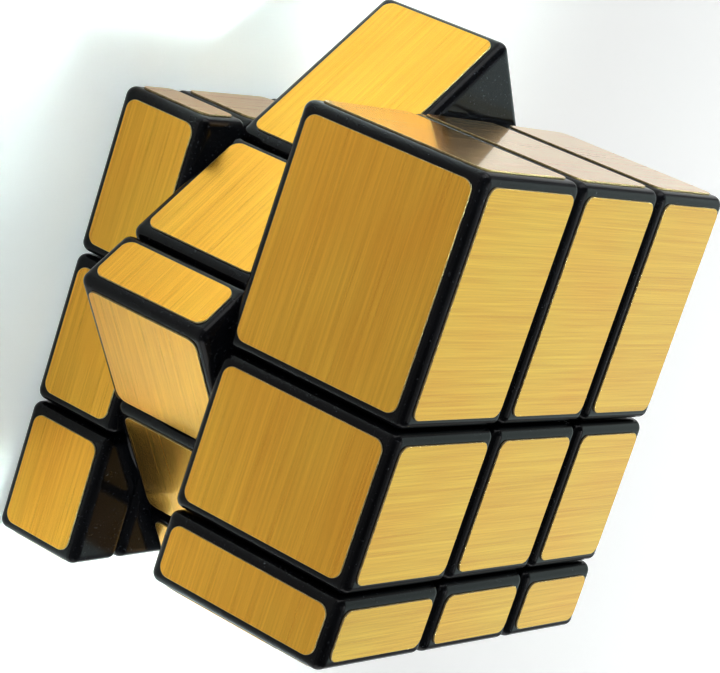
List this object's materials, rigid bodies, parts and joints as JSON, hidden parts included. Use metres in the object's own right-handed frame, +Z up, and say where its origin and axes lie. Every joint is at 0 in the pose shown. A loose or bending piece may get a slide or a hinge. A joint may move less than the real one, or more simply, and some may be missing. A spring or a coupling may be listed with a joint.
{
  "type": "mirror block cube",
  "caption": "Twisting puzzle cube of black blocks of unequal thickness with brushed gold faces, stored part-turned; its outer layers turn about the upright axis.",
  "frame": {"origin": "on the upright turning axis, at the outer face of the base layer's stickers, where the cube stands", "axes": "+Z up along the turning axis; the top layer's sides face +X, -X, +Y and -Y"},
  "size_m": [0.079, 0.079, 0.057],
  "materials": {
    "block_plastic": "gloss",
    "foot_plastic": "satin",
    "cap_plastic": "satin",
    "core_plastic": "satin",
    "gold_sticker": "satin",
    "screw_steel": "satin",
    "spring_steel": "satin"
  },
  "bodies": {
    "middle_slice": {"back_centre_body": "block_plastic", "back_centre_cap": "cap_plastic", "back_left_edge_foot": "foot_plastic", "back_left_edge_shell": "block_plastic", "back_right_edge_foot": "foot_plastic", "back_right_edge_shell": "block_plastic", "centre_screws": "screw_steel", "centre_springs": "spring_steel", "core_spider": "core_plastic", "front_centre_body": "block_plastic", "front_centre_cap": "cap_plastic", "front_left_edge_foot": "foot_plastic", "front_left_edge_shell": "block_plastic", "front_right_edge_foot": "foot_plastic", "front_right_edge_shell": "block_plastic", "left_centre_body": "block_plastic", "left_centre_cap": "cap_plastic", "middle_slice_stickers": "gold_sticker", "right_centre_body": "block_plastic", "right_centre_cap": "cap_plastic", "spring_washers": "screw_steel"},
    "top_layer": {"top_back_edge_foot": "foot_plastic", "top_back_edge_shell": "block_plastic", "top_back_left_corner_foot": "foot_plastic", "top_back_left_corner_shell": "block_plastic", "top_back_right_corner_foot": "foot_plastic", "top_back_right_corner_shell": "block_plastic", "top_centre_body": "block_plastic", "top_centre_cap": "cap_plastic", "top_front_edge_foot": "foot_plastic", "top_front_edge_shell": "block_plastic", "top_front_left_corner_foot": "foot_plastic", "top_front_left_corner_shell": "block_plastic", "top_front_right_corner_foot": "foot_plastic", "top_front_right_corner_shell": "block_plastic", "top_layer_stickers": "gold_sticker", "top_left_edge_foot": "foot_plastic", "top_left_edge_shell": "block_plastic", "top_right_edge_foot": "foot_plastic", "top_right_edge_shell": "block_plastic"},
    "base_layer": {"base_back_edge_foot": "foot_plastic", "base_back_edge_shell": "block_plastic", "base_back_left_corner_foot": "foot_plastic", "base_back_left_corner_shell": "block_plastic", "base_back_right_corner_foot": "foot_plastic", "base_back_right_corner_shell": "block_plastic", "base_centre_body": "block_plastic", "base_centre_cap": "cap_plastic", "base_face_stickers": "gold_sticker", "base_front_edge_foot": "foot_plastic", "base_front_edge_shell": "block_plastic", "base_front_left_corner_foot": "foot_plastic", "base_front_left_corner_shell": "block_plastic", "base_front_right_corner_foot": "foot_plastic", "base_front_right_corner_shell": "block_plastic", "base_layer_side_stickers": "gold_sticker", "base_left_edge_foot": "foot_plastic", "base_left_edge_shell": "block_plastic", "base_right_edge_foot": "foot_plastic", "base_right_edge_shell": "block_plastic"}
  },
  "joints": [
    {"name": "top_layer_turn", "type": "hinge", "parent": "middle_slice", "child": "top_layer", "pos_m": [0, 0, 0.0225], "axis": [0, 0, 1], "continuous": true},
    {"name": "base_layer_turn", "type": "hinge", "parent": "middle_slice", "child": "base_layer", "pos_m": [0, 0, 0.0225], "axis": [0, 0, 1], "continuous": true}
  ]
}
